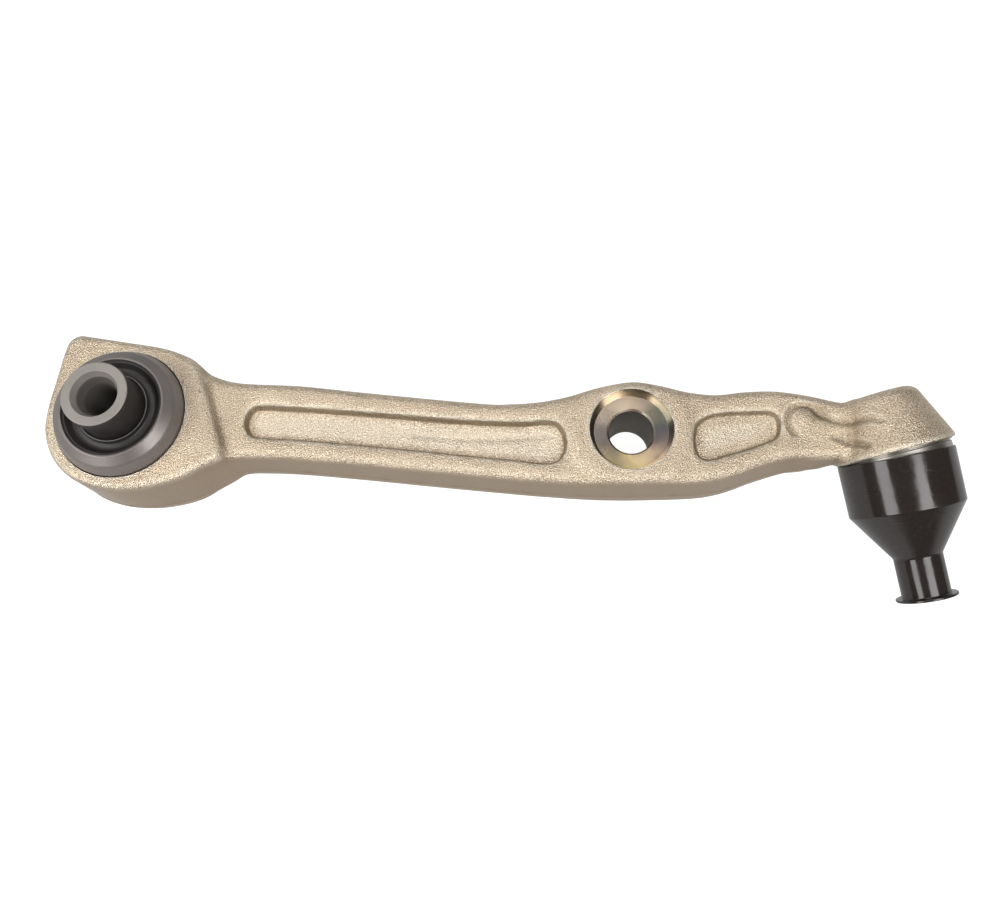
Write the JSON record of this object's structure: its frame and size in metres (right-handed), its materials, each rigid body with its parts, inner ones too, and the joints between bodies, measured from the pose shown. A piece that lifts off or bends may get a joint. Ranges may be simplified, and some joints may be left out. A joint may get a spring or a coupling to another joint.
{
  "type": "control arm",
  "caption": "Forged steel lower control arm with a rubber bushing, a strut bolt hole and a ball joint under a push-on transport cap.",
  "frame": {"origin": "on the bushing's axis, halfway through the eye", "axes": "+Z along the bushing's axis towards the side with the strut counterbore, +X from the bushing towards the ball joint"},
  "size_m": [0.393, 0.1031, 0.075],
  "materials": {
    "forging": "shot-blasted forging, pale yellow-passivated zinc, machined faces bright",
    "shell_steel": "satin grey phosphated steel",
    "bushing_rubber": "smooth moulded rubber",
    "sleeve_steel": "fine-turned steel ends, rubber-coated side",
    "seat_plastic": "natural acetal",
    "bright_steel": "fine-turned steel",
    "boot_rubber": "matt moulded rubber",
    "clip_wire": "drawn spring wire",
    "cap_plastic": "glossy moulded plastic"
  },
  "bodies": {
    "arm": {"arm_forging": "forging", "bushing_outer_shell": "shell_steel", "bushing_rubber": "bushing_rubber", "ball_seat": "seat_plastic", "housing_ring": "bright_steel", "boot_clip_large": "clip_wire"},
    "sleeve": {"bushing_inner_sleeve": "sleeve_steel"},
    "boot": {"dust_boot": "boot_rubber"},
    "boot_neck": {"boot_clip_small": "clip_wire", "boot_neck_ring": "bright_steel"},
    "stud": {"ball_stud": "bright_steel"},
    "cap": {"transport_cap": "cap_plastic"}
  },
  "joints": [
    {"name": "bushing_twist", "type": "hinge", "parent": "arm", "child": "sleeve", "pos_m": [0, 0, 0], "axis": [0, 0, 1], "range_deg": [-20, 20], "stiffness_Nm_per_rad": 60},
    {"name": "ball_swing_side", "type": "hinge", "parent": "arm", "child": "boot", "pos_m": [0.329, 0.003, 0.009], "axis": [0.543, 0.3354, -0.7698], "range_deg": [-9, 2], "deforming": ["dust_boot"]},
    {"name": "ball_swing_front", "type": "hinge", "parent": "boot", "child": "boot_neck", "pos_m": [0.329, 0.003, 0.009], "axis": [0.8073, 0.0438, 0.5885], "range_deg": [-4.5, 4.5]},
    {"name": "stud_spin", "type": "hinge", "parent": "boot_neck", "child": "stud", "pos_m": [0.329, 0.003, 0.009], "axis": [0.2311, -0.941, -0.247], "continuous": true},
    {"name": "cap_pull", "type": "slide", "parent": "stud", "child": "cap", "axis": [0.2311, -0.941, -0.247], "range_m": [0, 0.075]}
  ]
}
